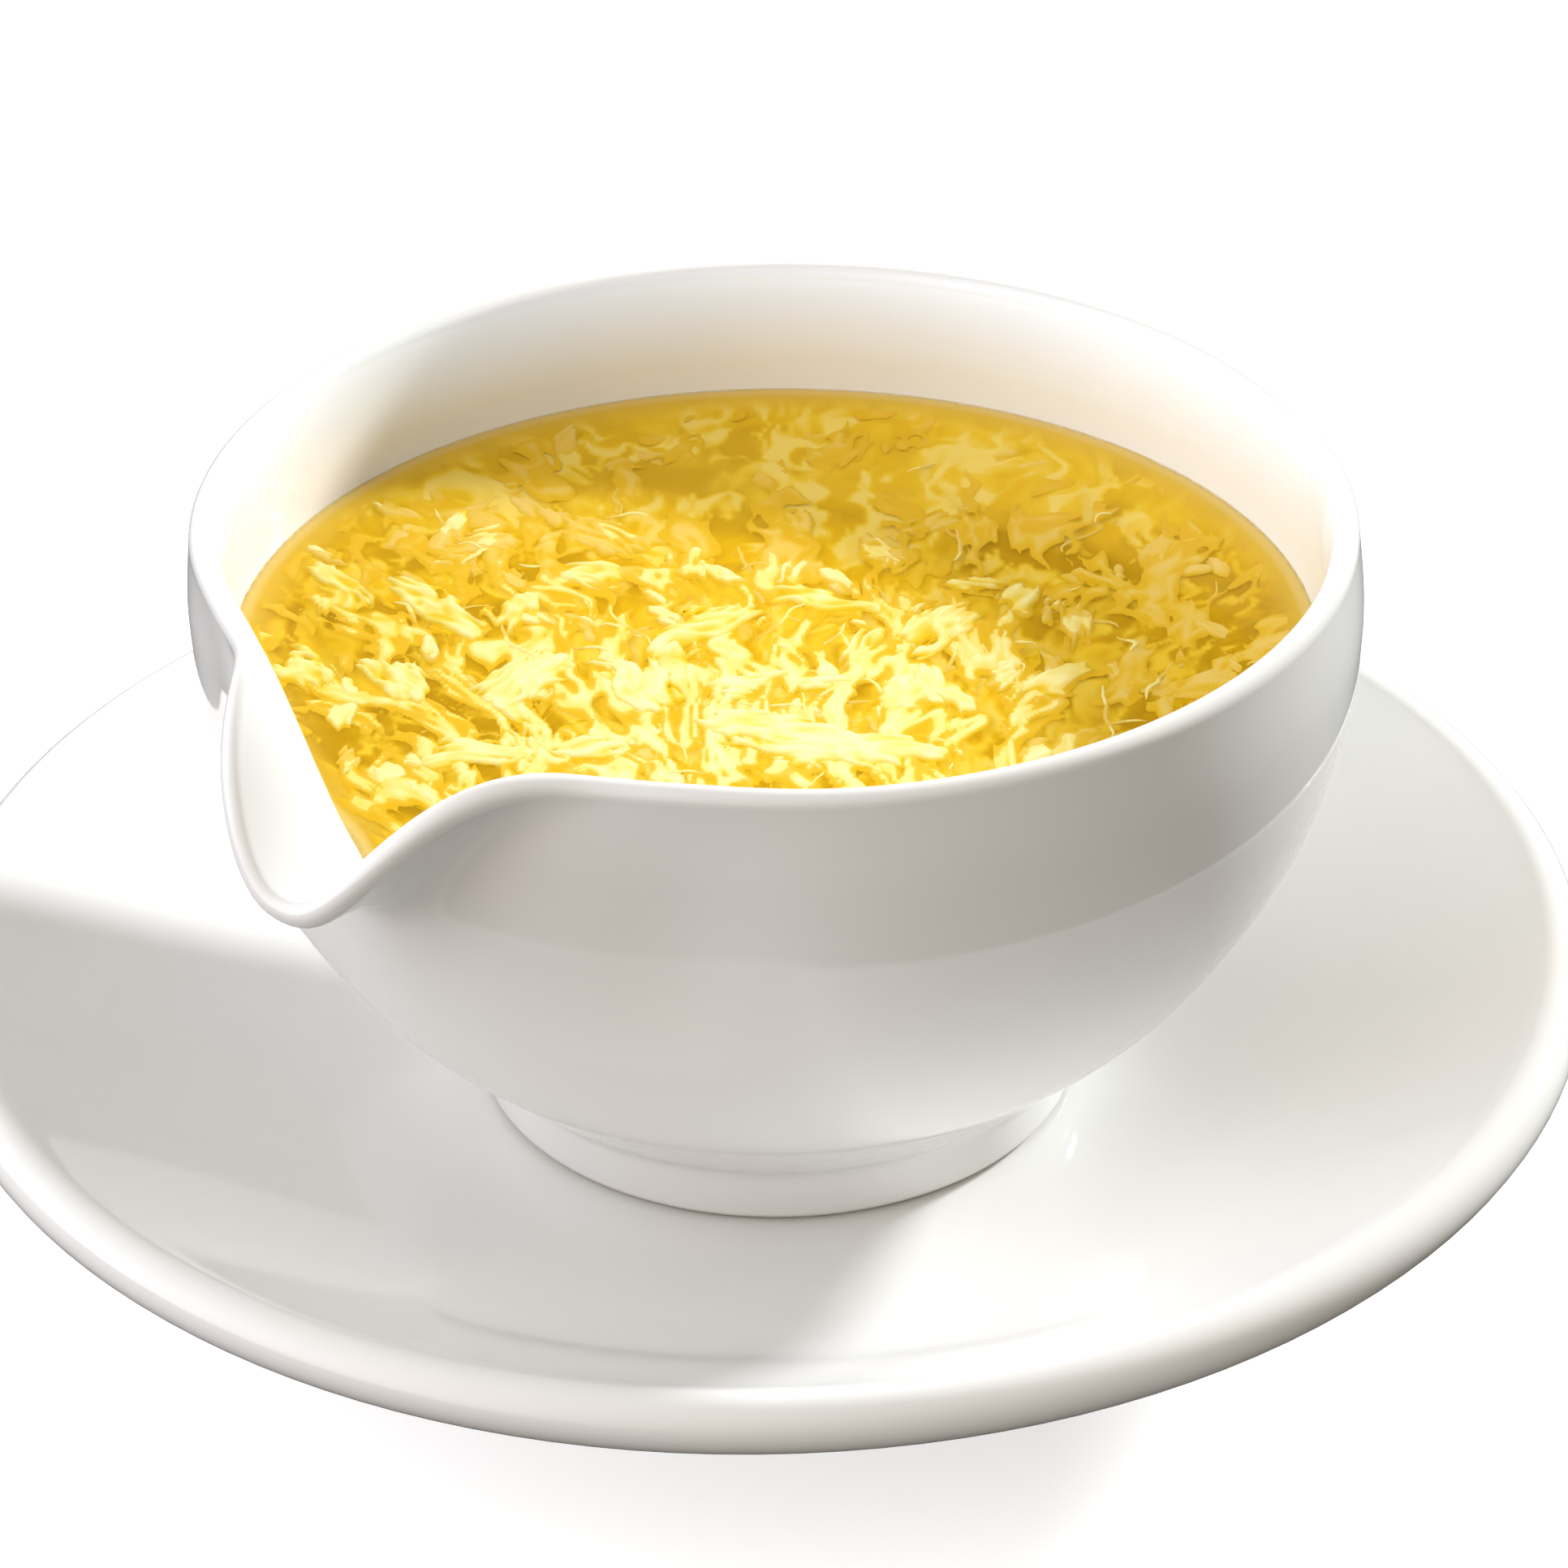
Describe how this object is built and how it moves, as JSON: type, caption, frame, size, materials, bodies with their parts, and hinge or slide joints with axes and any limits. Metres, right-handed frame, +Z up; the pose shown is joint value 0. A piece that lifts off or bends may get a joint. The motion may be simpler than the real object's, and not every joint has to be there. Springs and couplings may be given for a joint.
{
  "type": "bowl of egg drop soup",
  "caption": "Golden egg drop soup with pale egg flakes in a white porcelain bowl with a pouring lip, standing on its saucer.",
  "frame": {"origin": "middle of the saucer's foot, on the surface that it stands on", "axes": "+Z up, -Y towards the front, where the pouring lip points to the front left"},
  "size_m": [0.178, 0.178, 0.0776],
  "materials": {
    "porcelain": "white glazed porcelain, glossy",
    "broth": "clear golden broth, glossy",
    "egg": "cooked egg, pale yellow, moist"
  },
  "bodies": {
    "root": {"saucer": "porcelain", "bowl": "porcelain", "soup": "broth", "egg_flake_01": "egg", "egg_flake_02": "egg", "egg_flake_03": "egg", "egg_flake_04": "egg", "egg_flake_05": "egg", "egg_flake_06": "egg", "egg_flake_07": "egg", "egg_flake_08": "egg", "egg_flake_09": "egg", "egg_flake_10": "egg", "egg_flake_11": "egg", "egg_flake_12": "egg", "egg_flake_13": "egg", "egg_flake_14": "egg", "egg_flake_15": "egg", "egg_flake_16": "egg", "egg_flake_17": "egg", "egg_flake_18": "egg", "egg_flake_19": "egg", "egg_flake_20": "egg", "egg_flake_21": "egg", "egg_flake_22": "egg", "egg_flake_23": "egg", "egg_flake_24": "egg", "egg_flake_25": "egg", "egg_flake_26": "egg", "egg_flake_27": "egg", "egg_flake_28": "egg", "egg_flake_29": "egg", "egg_flake_30": "egg", "egg_flake_31": "egg", "egg_flake_32": "egg", "egg_flake_33": "egg", "egg_flake_34": "egg", "egg_flake_35": "egg", "egg_flake_36": "egg"}
  },
  "joints": []
}
